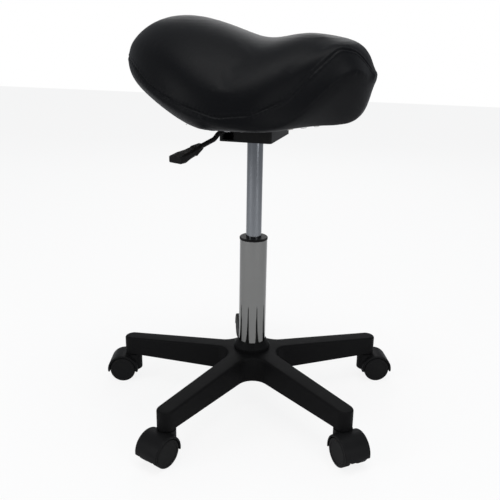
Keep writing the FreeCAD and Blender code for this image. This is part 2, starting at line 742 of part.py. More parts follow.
# The saddle's lines. Positions run from -1 at the rear rim to 1 at the front of the pommel.
# Heights are above the flat middle of the board's underside, plans are shares of the half width.
STATIONS = [-1.0, -0.945, -0.82, -0.62, -0.41, -0.20, 0.0, 0.22, 0.42, 0.59, 0.74, 0.86, 0.945, 1.0]
CROWN_LINE = [
    (-1.0, 122),
    (-0.94, 138),
    (-0.80, 159),
    (-0.58, CANTLE_HEIGHT),
    (-0.33, 163),
    (0.05, DIP_HEIGHT),
    (0.45, POMMEL_HEIGHT),
    (0.74, 139),
    (0.86, 129),
    (0.945, 109),
    (1.0, 86),
]
SEAM_LINE = [
    (-1.0, 106),
    (-0.80, 94),
    (-0.60, 66),
    (-0.34, 42),
    (-0.05, 24),
    (0.20, 28),
    (0.42, 49),
    (0.59, 90),
    (0.74, 123),
    (0.86, 118),
    (1.0, 83),
]
SIDE_LINE = [
    (-1.0, 100),
    (-0.80, 77),
    (-0.60, 55),
    (-0.34, 30),
    (-0.05, 14),
    (0.20, 6),
    (0.42, 12),
    (0.59, 39),
    (0.74, 72),
    (0.86, 90),
    (1.0, 80),
]
REAR_LIP_LINE = [(-1.0, 94), (-0.945, 80)]
FRONT_LIP_LINE = [(0.86, 13), (0.945, 38), (1.0, 72)]
SIDE_PLAN = [
    (-1.0, 0.17),
    (-0.94, 0.36),
    (-0.80, 0.62),
    (-0.60, 0.83),
    (-0.34, 0.965),
    (-0.07, 1.0),
    (0.20, 0.925),
    (0.42, 0.79),
    (0.59, 0.67),
    (0.74, 0.56),
    (0.86, 0.45),
    (0.945, 0.29),
    (1.0, 0.12),
]
SEAM_PLAN = [
    (-1.0, 0.15),
    (-0.94, 0.35),
    (-0.80, 0.60),
    (-0.60, 0.81),
    (-0.34, 0.955),
    (-0.07, 0.985),
    (0.20, 0.92),
    (0.42, 0.73),
    (0.59, 0.55),
    (0.74, 0.38),
    (0.86, 0.24),
    (1.0, 0.07),
]
UNDERSIDE_PLAN = [
    (-1.0, 0.11),
    (-0.94, 0.28),
    (-0.80, 0.47),
    (-0.60, 0.65),
    (-0.34, 0.78),
    (-0.07, 0.82),
    (0.20, 0.755),
    (0.42, 0.62),
    (0.59, 0.44),
    (0.74, 0.25),
    (0.86, 0.14),
    (1.0, 0.06),
]
SIDE_BULGE = 4.0
BAND_BULGE = 2.0
BULGE_FADE_WIDTH = 60.0
ROLL_SHARE = 0.55
ROLL_STEEPER = 19.0

# Outline of the board and of the cover's mouth: half an ellipse behind, a nose in front
OUTLINE_CENTRE_X = -15.0
OUTLINE_REAR = 180.0
OUTLINE_SIDE = 0.82
OUTLINE_FRONT = [(0.20, 0.755), (0.42, 0.615), (0.59, 0.43), (0.735, 0.235), (0.79, 0.0)]


def saddle_x(position):
    return position * (SEAT_REAR_REACH if position < 0 else SEAT_FRONT_REACH)


def board_rise(x):
    """Height of the bent board's underside above its flat middle."""
    if x > BOARD_FLAT_FRONT:
        return (x - BOARD_FLAT_FRONT) * math.tan(rad(BOARD_FRONT_ANGLE))
    back = -x - BOARD_FLAT_REAR
    if back <= 0:
        return 0.0
    angle = rad(BOARD_RAMP_ANGLE)
    bend = BOARD_BEND_R * math.sin(angle)
    if back < bend:
        return BOARD_BEND_R - math.sqrt(BOARD_BEND_R**2 - back**2)
    return BOARD_BEND_R * (1 - math.cos(angle)) + (back - bend) * math.tan(angle)


def lip_z(position):
    """Height of the cover's underside: under the board, and turned up past its ends."""
    if position <= REAR_LIP_LINE[-1][0]:
        return BOARD_Z + smooth(REAR_LIP_LINE, position)
    if position >= FRONT_LIP_LINE[0][0]:
        return BOARD_Z + smooth(FRONT_LIP_LINE, position)
    return BOARD_Z + board_rise(saddle_x(position)) - COVER_THICKNESS


def two_arcs(width, height):
    """Radii and turn of the crown arc and the tighter roll that meet the seam line."""
    chord = 2 * math.atan2(height, width)
    turn = ROLL_SHARE * chord
    end = chord + rad(ROLL_STEEPER)
    a = math.sin(turn)
    b = math.sin(end) - math.sin(turn)
    c = 1 - math.cos(turn)
    d = math.cos(turn) - math.cos(end)
    crown_r = (width * d - height * b) / (a * d - b * c)
    roll_r = (a * height - c * width) / (a * d - b * c)
    return crown_r, roll_r, turn, end


def saddle_section(position, inset):
    """Closed section across the seat, made of a bottom line and tangent arcs."""
    share = 1 - inset / SEAT_HALF_WIDTH
    x = saddle_x(position) * share
    side_w = SEAT_HALF_WIDTH * smooth(SIDE_PLAN, position) - inset
    seam_w = SEAT_HALF_WIDTH * smooth(SEAM_PLAN, position) - inset
    bottom_w = SEAT_HALF_WIDTH * smooth(UNDERSIDE_PLAN, position) - inset
    bottom_z = lip_z(position) + inset
    crown_z = BOARD_Z + smooth(CROWN_LINE, position) - inset
    side_z = BOARD_Z + smooth(SIDE_LINE, position) + inset * 0.3
    seam_z = BOARD_Z + smooth(SEAM_LINE, position)
    crown_r, roll_r, turn, end = two_arcs(seam_w, crown_z - seam_z)
    join = V(x, crown_r * math.sin(turn), crown_z - crown_r * (1 - math.cos(turn)))
    middle = (turn + end) / 2
    roll_y = (crown_r - roll_r) * math.sin(turn) + roll_r * math.sin(middle)
    roll_z = crown_z - crown_r + (crown_r - roll_r) * math.cos(turn) + roll_r * math.cos(middle)
    taper = min(1.0, side_w / BULGE_FADE_WIDTH)
    bottom = V(x, bottom_w, bottom_z)
    side = V(x, side_w, side_z)
    seam = V(x, seam_w, seam_z)
    low_bulge = V(x, (bottom_w + side_w) / 2 + SIDE_BULGE * taper, (bottom_z + side_z) / 2 - SIDE_BULGE * taper * 0.6)
    band_bulge = V(x, (side_w + seam_w) / 2 + BAND_BULGE * taper, (side_z + seam_z) / 2)
    roll = V(x, roll_y, roll_z)
    crown = V(x, 0, crown_z)

    def other(p):
        return V(p.x, -p.y, p.z)

    edges = [
        Part.LineSegment(other(bottom), bottom).toShape(),
        Part.Arc(bottom, low_bulge, side).toShape(),
        Part.Arc(side, band_bulge, seam).toShape(),
        Part.Arc(seam, roll, join).toShape(),
        Part.Arc(join, crown, other(join)).toShape(),
        Part.Arc(other(join), other(roll), other(seam)).toShape(),
        Part.Arc(other(seam), other(band_bulge), other(side)).toShape(),
        Part.Arc(other(side), other(low_bulge), other(bottom)).toShape(),
    ]
    return Part.Wire(edges)


def saddle_form(inset):
    return Part.makeLoft([saddle_section(position, inset) for position in STATIONS], True, False)


def board_profile(lower, upper):
    """Side view of the bent board, thickened downwards and upwards by the given amounts."""
    angle = rad(BOARD_RAMP_ANGLE)
    rear = SEAT_REAR_REACH * 1.2
    front = SEAT_FRONT_REACH * 1.2

    def line(offset):
        radius = BOARD_BEND_R - offset
        height = BOARD_Z + offset
        centre = V(-BOARD_FLAT_REAR, 0, BOARD_Z + BOARD_BEND_R)
        tip = V(front, 0, height + board_rise(front))
        crease = V(BOARD_FLAT_FRONT, 0, height)
        start = V(-BOARD_FLAT_REAR, 0, height)
        middle = centre + V(-radius * math.sin(angle / 2), 0, -radius * math.cos(angle / 2))
        end = centre + V(-radius * math.sin(angle), 0, -radius * math.cos(angle))
        run = rear - BOARD_FLAT_REAR
        far = end + V(-run, 0, run * math.tan(angle))
        straight = [Part.LineSegment(tip, crease), Part.LineSegment(crease, start)]
        bent = [Part.Arc(start, middle, end), Part.LineSegment(end, far)]
        return straight + bent, tip, far

    low, low_tip, low_far = line(-lower)
    high, high_tip, high_far = line(upper)
    ends = [Part.LineSegment(low_far, high_far), Part.LineSegment(high_tip, low_tip)]
    edges = Part.sortEdges([curve.toShape() for curve in low + high + ends])[0]
    return Part.Face(Part.Wire(edges))


def board_layer(lower, upper):
    width = SEAT_HALF_WIDTH * 1.2
    layer = board_profile(lower, upper).extrude(V(0, 2 * width, 0))
    layer.translate(V(0, -width, 0))
    return layer


def closed_curve(points):
    curve = Part.BSplineCurve()
    curve.interpolate(points, PeriodicFlag=True)
    return curve.toShape()


def underside_outline(inset):
    """Plan of the underside, drawn in all round by the inset."""
    side = SEAT_HALF_WIDTH * OUTLINE_SIDE
    left = [V(SEAT_FRONT_REACH * x, SEAT_HALF_WIDTH * y, 0) for x, y in reversed(OUTLINE_FRONT)]
    for k in range(5):
        angle = rad(90 + 22.5 * k)
        left.append(V(OUTLINE_CENTRE_X + OUTLINE_REAR * math.cos(angle), side * math.sin(angle), 0))
    right = [V(p.x, -p.y, 0) for p in reversed(left[1:-1])]
    outline = closed_curve(left + right)
    if inset == 0:
        return outline
    drawn_in = []
    count = 2 * len(left)
    for k in range(count):
        place = outline.getParameterByLength(outline.Length * k / count)
        inward = UP.cross(outline.tangentAt(place))
        drawn_in.append(outline.valueAt(place) + inward * inset)
    return closed_curve(drawn_in)


def underside_prism(inset):
    face = Part.Face(Part.Wire(underside_outline(inset)))
    prism = face.extrude(V(0, 0, 2 * CANTLE_HEIGHT))
    prism.translate(V(0, 0, BOARD_Z - CANTLE_HEIGHT))
    return prism


def seat_board():
    board = board_layer(0, BOARD_THICKNESS).common(underside_prism(BOARD_INSET))
    for x, y in bolt_places():
        board = board.cut(rod(TEE_NUT_R + SEATED_FIT, BOARD_Z - 5, BOARD_Z + 2 * BOARD_THICKNESS, x, y))
    return board


def seat_foam():
    foam = saddle_form(COVER_THICKNESS + SOFT_GAP)
    room = board_layer(CANTLE_HEIGHT / 2, BOARD_THICKNESS + SOFT_GAP)
    foam = foam.cut(room.common(underside_prism(BOARD_INSET - SOFT_GAP)))
    for x, y in bolt_places():
        flange_top = BOARD_Z + BOARD_THICKNESS + TEE_FLANGE
        foam = foam.cut(rod(TEE_FLANGE_R + 1, BOARD_Z, flange_top + 1, x, y))
    return foam


def seat_cover():
    cover = saddle_form(0).cut(saddle_form(COVER_THICKNESS))
    mouth = underside_prism(COVER_LIP).common(board_layer(CANTLE_HEIGHT / 2, BOARD_THICKNESS))
    board_room = underside_prism(BOARD_INSET - TOUCH_GAP).common(board_layer(TOUCH_GAP, BOARD_THICKNESS))
    return cover.cut(mouth).cut(board_room)


def dust_cover():
    sheet = board_layer(DUST_COVER + TOUCH_GAP, -TOUCH_GAP).common(underside_prism(COVER_LIP + SOFT_GAP))
    reach_x = PAN_HALF_X + 1.0
    reach_y = PAN_HALF_Y + PAN_FLANGE + 1.0
    return sheet.cut(block(-reach_x, reach_x, -reach_y, reach_y, BOARD_Z - 5, BOARD_Z + 5))


def cover_staples():
    """Staples through the cover's lip, legs up into the board."""
    half = STAPLE_WIDTH / 2
    wire = STAPLE_WIRE
    crown_top = -COVER_THICKNESS - TOUCH_GAP
    staple = block(-half, half, -wire / 2, wire / 2, crown_top - wire, crown_top)
    for side in (-1, 1):
        middle = side * (half - wire / 2)
        leg = block(middle - wire / 2, middle + wire / 2, -wire / 2, wire / 2, crown_top, STAPLE_LEG)
        staple = staple.fuse(leg)
    staple = staple.removeSplitter()
    outline = underside_outline(STAPLE_INSET)
    staples = []
    for k in range(STAPLE_COUNT):
        along = outline.getParameterByLength(outline.Length * (k + 0.5) / STAPLE_COUNT)
        place = outline.valueAt(along)
        step = 1.0
        slope = (board_rise(place.x + step) - board_rise(place.x - step)) / (2 * step)
        upward = V(-slope, 0, 1).normalize()
        turn = FreeCAD.Rotation(outline.tangentAt(along), V(), upward, "ZXY")
        copy = staple.copy()
        copy.Placement = FreeCAD.Placement(V(place.x, place.y, BOARD_Z + board_rise(place.x)), turn)
        staples.append(copy)
    return Part.makeCompound(staples)


def tee_nuts():
    top = BOARD_Z + BOARD_THICKNESS
    nut = ring(BOLT_R + 0.02, TEE_NUT_R, BOARD_Z + 1, top).fuse(ring(BOLT_R + 0.02, TEE_FLANGE_R, top, top + TEE_FLANGE))
    return Part.makeCompound([moved(nut.removeSplitter(), x, y) for x, y in bolt_places()])


def pan_bolts():
    under = BOARD_Z - TOUCH_GAP - PAN_STEEL - LOCK_WASHER
    shank = rod(BOLT_R, under, BOARD_Z + BOARD_THICKNESS)
    head = rod(BOLT_HEAD_R, under - BOLT_HEAD, under)
    key = Part.Face(Part.makePolygon([polar(60 * k, 2.9, under - BOLT_HEAD) for k in range(7)]))
    bolt = head.fuse(shank).cut(key.extrude(V(0, 0, 2.5))).removeSplitter()
    return Part.makeCompound([moved(bolt, x, y) for x, y in bolt_places()])


def lock_washers():
    under = BOARD_Z - TOUCH_GAP - PAN_STEEL
    washer = ring(BOLT_R + 0.2, BOLT_HEAD_R, under - LOCK_WASHER, under)
    return Part.makeCompound([moved(washer, x, y) for x, y in bolt_places()])


def build():
    pieces = {
        "seat_cover": seat_cover(),
        "seat_foam": seat_foam(),
        "seat_board": seat_board(),
        "dust_cover": dust_cover(),
        "cover_staples": cover_staples(),
        "tee_nuts": tee_nuts(),
        "pan_bolts": pan_bolts(),
        "lock_washers": lock_washers(),
        "mounting_pan": mounting_pan(),
        "taper_socket": taper_socket(),
        "lever_bracket": lever_bracket(),
        "lever_pin": lever_pin(),
        "lever_rod": lever_rod(),
        "lever_paddle": lever_paddle(),
        "release_button": release_button(),
        "column_tube": column_tube(),
        "valve_body": valve_body(),
        "inner_cylinder": inner_cylinder(),
        "rod_guide": rod_guide(),
        "piston": piston(),
        "piston_rod": piston_rod(),
        "rod_bumper": rod_bumper(),
        "upper_bearing_washer": upper_washer(),
        "bearing_balls": bearing_balls(),
        "ball_cage": ball_cage(),
        "lower_bearing_washer": lower_washer(),
        "retaining_clip": retaining_clip(),
        "outer_tube": outer_tube(),
        "guide_bush": guide_bush(),
        "star_base": star_base(),
        "caster_stems": caster_stems(),
        "grip_rings": grip_rings(),
    }
    caster_pieces = {
        "hood": caster_hood(),
        "axle": caster_axle(),
        "wheel_left": caster_wheel(1),
        "wheel_right": caster_wheel(-1),
    }
    for k, angle in enumerate(ARM_ANGLES):
        place = polar(angle, CASTER_CIRCLE_R)
        for name, shape in caster_pieces.items():
            set_down = turned(shape, CASTER_TURNS[k])
            pieces[f"caster_{k + 1}_{name}"] = moved(set_down, place.x, place.y)
    return pieces


def main():
    os.makedirs("parts", exist_ok=True)
    for name, shape in build().items():
        if not shape.isValid() or shape.Volume <= 0:
            print("not a sound solid:", name)
        shape.exportStep(f"parts/{name}.step")
        print(f"{name:24s} solids {len(shape.Solids):3d} volume {shape.Volume / 1000:9.2f} cm3")


main()
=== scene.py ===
# %% [markdown]
# Saddle stool, dressed for the camera.
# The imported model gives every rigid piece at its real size. This script gives each of them a
# finish, and builds the soft seat, its dust cloth and its stitching as real meshes.
# All lengths are in metres, +Z is up and +X is the way the rider faces.

# %% Load the frame
import json
import math

import bmesh
import bpy
import numpy as np
from mathutils import Matrix, Vector, kdtree
from mathutils.bvhtree import BVHTree


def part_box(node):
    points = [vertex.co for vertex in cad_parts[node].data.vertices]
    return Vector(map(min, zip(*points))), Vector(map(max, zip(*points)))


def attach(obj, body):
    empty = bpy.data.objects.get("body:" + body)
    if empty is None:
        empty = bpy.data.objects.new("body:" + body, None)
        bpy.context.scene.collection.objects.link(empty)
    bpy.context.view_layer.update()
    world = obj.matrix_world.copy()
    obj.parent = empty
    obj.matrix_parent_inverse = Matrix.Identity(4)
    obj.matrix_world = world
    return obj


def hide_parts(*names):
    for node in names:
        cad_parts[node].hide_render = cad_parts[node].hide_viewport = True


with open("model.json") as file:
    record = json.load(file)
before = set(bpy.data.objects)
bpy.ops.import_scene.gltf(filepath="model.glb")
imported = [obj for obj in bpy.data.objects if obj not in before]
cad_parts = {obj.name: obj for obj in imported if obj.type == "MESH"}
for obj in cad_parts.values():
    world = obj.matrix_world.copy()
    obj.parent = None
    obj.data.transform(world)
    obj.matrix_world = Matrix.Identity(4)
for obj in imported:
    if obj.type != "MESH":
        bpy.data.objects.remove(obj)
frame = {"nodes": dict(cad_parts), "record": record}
bpy.context.scene.view_settings.view_transform = "Standard"
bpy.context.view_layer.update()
MM = 0.001

# %% Small helpers
SAME_POINT = 2e-6


def placed(name, data):
    """A new object at the origin, in the scene."""
    thing = bpy.data.objects.new(name, data)
    bpy.context.scene.collection.objects.link(thing)
    return thing


def merged(*nodes):
    """The loose triangles of CAD nodes as one bmesh, with the points that coincide made one."""
    shape = bmesh.new()
    for node in nodes:
        shape.from_mesh(frame["nodes"][node].data)
    bmesh.ops.remove_doubles(shape, verts=shape.verts, dist=SAME_POINT)
    return shape


def mesh_from(shape, name):
    mesh = bpy.data.meshes.new(name)
    shape.to_mesh(mesh)
    shape.free()
    return mesh


def shade_smooth(mesh):
    for polygon in mesh.polygons:
        polygon.use_smooth = True


def point_tree(points):
    """A search tree that finds the nearest of the points."""
    tree = kdtree.KDTree(len(points))
    for k, point in enumerate(points):
        tree.insert(point, k)
    tree.balance()
    return tree


# %% [markdown]
# The camera stands where the photographer's did: the stool's right side, a little to the front,
# looking down 18 degrees. It was worked out from the five casters, the two tubes and the floor.

# %% Camera
CAMERA_PLACE = Vector((0.3203, -1.1325, 0.6827))
CAMERA_HEADING = math.radians(16.1)
CAMERA_PITCH = 0.3148
CAMERA_ROLL = 0.0159
CAMERA_LENS = 48.6


def add_camera():
    """A camera turned by heading, pitch and roll, looking along +Y before the turns."""
    data = bpy.data.cameras.new("photo_camera")
    data.lens = CAMERA_LENS
    data.sensor_width = 36.0
    camera = placed("photo_camera", data)
    heading = Matrix.Rotation(CAMERA_HEADING, 3, "Z")
    pitch = Matrix.Rotation(math.radians(90) - CAMERA_PITCH, 3, "X")
    roll = Matrix.Rotation(CAMERA_ROLL, 3, "Z")
    camera.matrix_world = Matrix.Translation(CAMERA_PLACE) @ (heading @ pitch @ roll).to_4x4()
    bpy.context.scene.camera = camera


add_camera()

# %% [markdown]
# A node material is a small graph. These helpers make one with a few words: `Paint` holds the
# graph, adds nodes and links them, so that each finish below reads like a recipe.

# %% Material helper


class Paint:
    """A node material under construction."""

    def __init__(self, name):
        self.material = bpy.data.materials.new(name)
        self.material.use_nodes = True
        self.nodes = self.material.node_tree.nodes
        self.links = self.material.node_tree.links
        self.shader = self.nodes["Principled BSDF"]
        self.place = self.add("ShaderNodeTexCoord").outputs["Object"]

    def add(self, kind, **settings):
        node = self.nodes.new(kind)
        for name, value in settings.items():
            setattr(node, name, value)
        return node

    def link(self, output, target):
        self.links.new(output, target)

    def look(self, **values):
        for name, value in values.items():
            self.shader.inputs[name.replace("_", " ")].default_value = value

    def stretched(self, scale):
        mapping = self.add("ShaderNodeMapping")
        mapping.inputs["Scale"].default_value = scale
        self.link(self.place, mapping.inputs["Vector"])
        return mapping.outputs["Vector"]

    def noise(self, scale, detail=3.0, rough=0.5, vector=None):
        node = self.add("ShaderNodeTexNoise")
        node.inputs["Scale"].default_value = scale
        node.inputs["Detail"].default_value = detail
        node.inputs["Roughness"].default_value = rough
        self.link(vector or self.place, node.inputs["Vector"])
        return node.outputs["Fac"]

    def cells(self, scale):
        node = self.add("ShaderNodeTexVoronoi")
        node.inputs["Scale"].default_value = scale
        self.link(self.place, node.inputs["Vector"])
        return node.outputs["Distance"]

    def spread(self, value, low, high):
        """Stretches 0 to 1 over the range from low to high."""
        node = self.add("ShaderNodeMapRange")
        node.inputs["To Min"].default_value = low
        node.inputs["To Max"].default_value = high
        self.link(value, node.inputs["Value"])
        return node.outputs["Result"]

    def blend(self, value, first, second):
        node = self.add("ShaderNodeMix", data_type="RGBA")
        node.inputs["A"].default_value = (*first, 1)
        node.inputs["B"].default_value = (*second, 1)
        self.link(value, node.inputs["Factor"])
        return node.outputs["Result"]

    def bump(self, height, depth, strength=1.0, below=None):
        node = self.add("ShaderNodeBump")
        node.inputs["Strength"].default_value = strength
        node.inputs["Distance"].default_value = depth
        self.link(height, node.inputs["Height"])
        if below:
            self.link(below, node.inputs["Normal"])
        return node.outputs["Normal"]

    def finish(self, colour=None, rough=None, normal=None):
        for output, name in ((colour, "Base Color"), (rough, "Roughness"), (normal, "Normal")):
            if output:
                self.link(output, self.shader.inputs[name])
        return self.material


# %% [markdown]
# The floor and the background are pale, and the lamps are soft boxes, as in a product studio.
# Camera rays see the background as white; the light on the stool comes from the lamps.

# %% Studio
FLOOR_SIZE = 12.0
FLOOR_GLOW = 0.86
WORLD_LIGHT = (0.36, 0.37, 0.39, 1)
WHITE = (1, 1, 1, 1)
# Name, place, point aimed at, size and power in watts
LAMPS = [
    ("overhead", (0.2, -0.3, 2.6), (0, 0, 0.4), (1.8, 1.4), 26),
    ("front_left", (-1.7, -1.9, 1.2), (0, 0, 0.5), (1.0, 1.4), 16),
    ("front_right", (1.9, -1.2, 0.9), (0, 0, 0.5), (0.8, 1.4), 9),
    ("behind", (-0.6, 2.4, 1.6), (0, 0, 0.5), (1.6, 1.0), 10),
]


def make_world():
    world = bpy.data.worlds.new("studio")
    bpy.context.scene.world = world
    world.use_nodes = True
    nodes, links = world.node_tree.nodes, world.node_tree.links
    background = nodes["Background"]
    path = nodes.new("ShaderNodeLightPath")
    seen = nodes.new("ShaderNodeMath")
    seen.operation = "MAXIMUM"
    links.new(path.outputs["Is Camera Ray"], seen.inputs[0])
    links.new(path.outputs["Is Transmission Ray"], seen.inputs[1])
    colour = nodes.new("ShaderNodeMix")
    colour.data_type = "RGBA"
    colour.inputs["A"].default_value = WORLD_LIGHT
    colour.inputs["B"].default_value = WHITE
    links.new(seen.outputs[0], colour.inputs["Factor"])
    links.new(colour.outputs["Result"], background.inputs["Color"])
    background.inputs["Strength"].default_value = 1.0


def make_floor():
    """A white floor that glows a little for the camera alone, so it lights nothing by itself."""
    mesh = bpy.data.meshes.new("floor")
    half = FLOOR_SIZE / 2
    corners = [(-half, -half, 0), (half, -half, 0), (half, half, 0), (-half, half, 0)]
    mesh.from_pydata(corners, [], [(0, 1, 2, 3)])
    floor = placed("floor", mesh)
    paint = Paint("pale_floor")
    paint.look(Base_Color=(0.94, 0.94, 0.94, 1), Roughness=0.9)
    shown = paint.add("ShaderNodeEmission")
    shown.inputs["Color"].default_value = WHITE
    path = paint.add("ShaderNodeLightPath")
    share = paint.spread(path.outputs["Is Camera Ray"], 0.0, FLOOR_GLOW)
    both = paint.add("ShaderNodeMixShader")
    paint.link(share, both.inputs["Fac"])
    paint.link(paint.shader.outputs[0], both.inputs[1])
    paint.link(shown.outputs[0], both.inputs[2])
    paint.link(both.outputs[0], paint.nodes["Material Output"].inputs["Surface"])
    floor.data.materials.append(paint.material)


def add_lamp(name, place, target, size, power):
    data = bpy.data.lights.new(name, "AREA")
    data.shape = "RECTANGLE"
    data.size, data.size_y = size
    data.energy = power
    lamp = placed(name, data)
    lamp.location = place
    lamp.rotation_euler = (Vector(target) - Vector(place)).to_track_quat("-Z", "Y").to_euler()


make_world()
make_floor()
for lamp_settings in LAMPS:
    add_lamp(*lamp_settings)

# %% [markdown]
# The finishes. The stool is black leather over chrome and black nylon, so what tells the pieces
# apart is not colour but grain and gloss: each finish gets its own bump and roughness.

# %% Finishes of the seat


def leather_paint():
    """Black synthetic leather: small pebbled grain, soft sheen, faint handling marks."""
    paint = Paint("black_leather")
    pebbles = paint.cells(820)
    pores = paint.noise(2600, detail=2)
    creases = paint.noise(60, detail=5, rough=0.6)
    normal = paint.bump(pebbles, 0.00022, 0.35)
    normal = paint.bump(pores, 0.00006, 0.3, below=normal)
    normal = paint.bump(creases, 0.0006, 0.10, below=normal)
    wear = paint.noise(9, detail=6, rough=0.65)
    colour = paint.blend(wear, (0.0022, 0.0024, 0.0030), (0.0038, 0.0042, 0.0052))
    rough = paint.spread(wear, 0.4, 0.5)
    paint.look(Specular_IOR_Level=0.085)
    return paint.finish(colour, rough, normal)


def dust_cloth_paint():
    """Thin black non-woven cloth: matted fibres pressed in a fine dot grid."""
    paint = Paint("dust_cloth")
    fibres = paint.noise(1500, detail=6, rough=0.8, vector=paint.stretched((1, 0.25, 1)))
    dots = paint.cells(420)
    normal = paint.bump(fibres, 0.0002, 0.5)
    normal = paint.bump(dots, 0.0002, 0.4, below=normal)
    colour = paint.blend(fibres, (0.008, 0.008, 0.008), (0.035, 0.035, 0.035))
    paint.look(Roughness=0.95, Specular_IOR_Level=0.15, Sheen_Weight=0.2)
    return paint.finish(colour, None, normal)


def foam_paint():
    paint = Paint("moulded_foam")
    cells = paint.cells(700)
    normal = paint.bump(cells, 0.0004, 0.5)
    colour = paint.blend(cells, (0.62, 0.52, 0.3), (0.8, 0.72, 0.5))
    paint.look(Roughness=0.9)
    return paint.finish(colour, None, normal)


def plywood_paint():
    """Plies show as bands up the edge, and the face has long brown grain along X."""
    paint = Paint("plywood")
    grain = paint.noise(40, detail=8, rough=0.7, vector=paint.stretched((0.5, 8, 8)))
    plies = paint.add("ShaderNodeTexWave", bands_direction="Z")
    plies.inputs["Scale"].default_value = 130
    paint.link(paint.place, plies.inputs["Vector"])
    shade = paint.add("ShaderNodeMath", operation="MULTIPLY")
    paint.link(grain, shade.inputs[0])
    paint.link(paint.spread(plies.outputs["Fac"], 0.8, 1.2), shade.inputs[1])
    colour = paint.blend(shade.outputs[0], (0.32, 0.19, 0.09), (0.66, 0.48, 0.27))
    paint.look(Roughness=0.75)
    return paint.finish(colour, None, paint.bump(grain, 0.0002, 0.4))


# %% Finishes of the metal and plastic


def chrome_paint(name, tone, rough, streaks):
    """Plated steel. Faint streaks along Z come from polishing the tube as it turned."""
    paint = Paint(name)
    draw = paint.noise(streaks, detail=4, rough=0.6, vector=paint.stretched((1, 1, 0.01)))
    haze = paint.noise(18, detail=5, rough=0.6)
    colour = paint.blend(haze, tone, tuple(1.12 * c for c in tone))
    rough_out = paint.spread(draw, rough * 0.7, rough * 1.5)
    paint.look(Metallic=1.0)
    return paint.finish(colour, rough_out, paint.bump(draw, 0.00002, 0.25))


def steel_paint(name, tone, rough, scale=900):
    paint = Paint(name)
    scratch = paint.noise(scale, detail=5, rough=0.7, vector=paint.stretched((1, 1, 0.15)))
    colour = paint.blend(scratch, tuple(0.82 * c for c in tone), tone)
    paint.look(Metallic=1.0)
    rough_out = paint.spread(scratch, rough * 0.8, rough * 1.3)
    return paint.finish(colour, rough_out, paint.bump(scratch, 0.00003, 0.4))


def moulded_paint(name, tone, rough, grain, depth):
    """Moulded black nylon: spark-eroded texture, a little dust-grey variation, soft sheen."""
    paint = Paint(name)
    texture = paint.noise(grain, detail=3, rough=0.6)
    broad = paint.noise(14, detail=5, rough=0.6)
    colour = paint.blend(broad, tone, tuple(1.5 * c for c in tone))
    normal = paint.bump(texture, depth, 0.5)
    normal = paint.bump(broad, 0.0008, 0.05, below=normal)
    paint.look(Specular_IOR_Level=0.07)
    return paint.finish(colour, paint.spread(broad, rough * 0.88, rough * 1.1), normal)


FINISHES = {
    "cover": leather_paint(),
    "foam": foam_paint(),
    "plywood": plywood_paint(),
    "dust_cloth": dust_cloth_paint(),
    "zinc_steel": steel_paint("zinc_steel", (0.62, 0.63, 0.65), 0.35),
    "painted_steel": moulded_paint("powder_coat", (0.008, 0.008, 0.008), 0.42, 1300, 0.00008),
    "lever_plastic": moulded_paint("lever_plastic", (0.007, 0.007, 0.007), 0.5, 1800, 0.00005),
    "tube_chrome": chrome_paint("tube_chrome", (0.2, 0.2, 0.195), 0.06, 500),
    "column_chrome": chrome_paint("column_chrome", (0.20, 0.21, 0.225), 0.14, 900),
    "polished_steel": steel_paint("polished_steel", (0.66, 0.67, 0.69), 0.2),
    "brass": steel_paint("turned_brass", (0.78, 0.58, 0.26), 0.28),
    "rubber": moulded_paint("rubber", (0.01, 0.01, 0.01), 0.8, 900, 0.0001),
    "acetal": moulded_paint("acetal", (0.008, 0.008, 0.008), 0.36, 2200, 0.00003),
    "base_nylon": moulded_paint("base_nylon", (0.004, 0.004, 0.0042), 0.56, 1500, 0.00011),
    "caster_nylon": moulded_paint("caster_nylon", (0.007, 0.007, 0.0073), 0.46, 1700, 0.00007),
    "wheel_nylon": moulded_paint("wheel_nylon", (0.008, 0.008, 0.0082), 0.5, 1700, 0.00007),
}
slot_of = {part["node"]: part["material_slot"] for part in frame["record"]["subparts"]}
for node, thing in frame["nodes"].items():
    thing.data.materials.clear()
    thing.data.materials.append(FINISHES[slot_of[node]])
print("finishes:", len(FINISHES))

# %% [markdown]
# The rigid nodes come as loose triangles. Where one shows, a copy of it is welded, so that its
# round faces can shade smoothly while its real edges stay crisp.

# %% Welded copies of the rigid nodes
SMOOTH_UP_TO = math.radians(32)
ZERO_EDGE = 1e-6
body_groups = frame["record"]["behaviour"]["bodies"]
body_of = {node: body for body, group in body_groups.items() for node in group}


def hand_over(piece, *nodes):
    """Says what a finished piece moves with and which nodes it stands for."""
    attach(piece, body_of[nodes[0]])
    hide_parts(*nodes)


def weld(node):
    mesh = frame["nodes"][node].data.copy()
    mesh.name = f"{node}_skin"
    shape = bmesh.new()
    shape.from_mesh(mesh)
    bmesh.ops.remove_doubles(shape, verts=shape.verts, dist=SAME_POINT)
    bmesh.ops.dissolve_degenerate(shape, edges=shape.edges, dist=ZERO_EDGE)
    for face in shape.faces:
        face.smooth = True
    for edge in shape.edges:
        edge.smooth = edge.is_manifold and edge.calc_face_angle(0) < SMOOTH_UP_TO
    shape.to_mesh(mesh)
    shape.free()
    if "custom_normal" in mesh.attributes:
        mesh.attributes.remove(mesh.attributes["custom_normal"])
    hand_over(placed(f"{node}_skin", mesh), node)


SOFT_NODES = {"seat_cover", "seat_foam", "dust_cover", "cover_staples"}
for node in list(frame["nodes"]):
    if node not in SOFT_NODES:
        weld(node)

# %% [markdown]
# The seat is moulded foam on a bent plywood board, in a leather cover of two parts: a top panel
# and a boxing band below it, joined by one seam that dips at the sides and climbs over the nose.
# It starts as cover, foam and board together, turned into one even skin by a voxel remesh. A
# cloth simulation then blows the skin up a little while the seam and the underside are held, so
# each panel swells between its seams as real upholstery does.

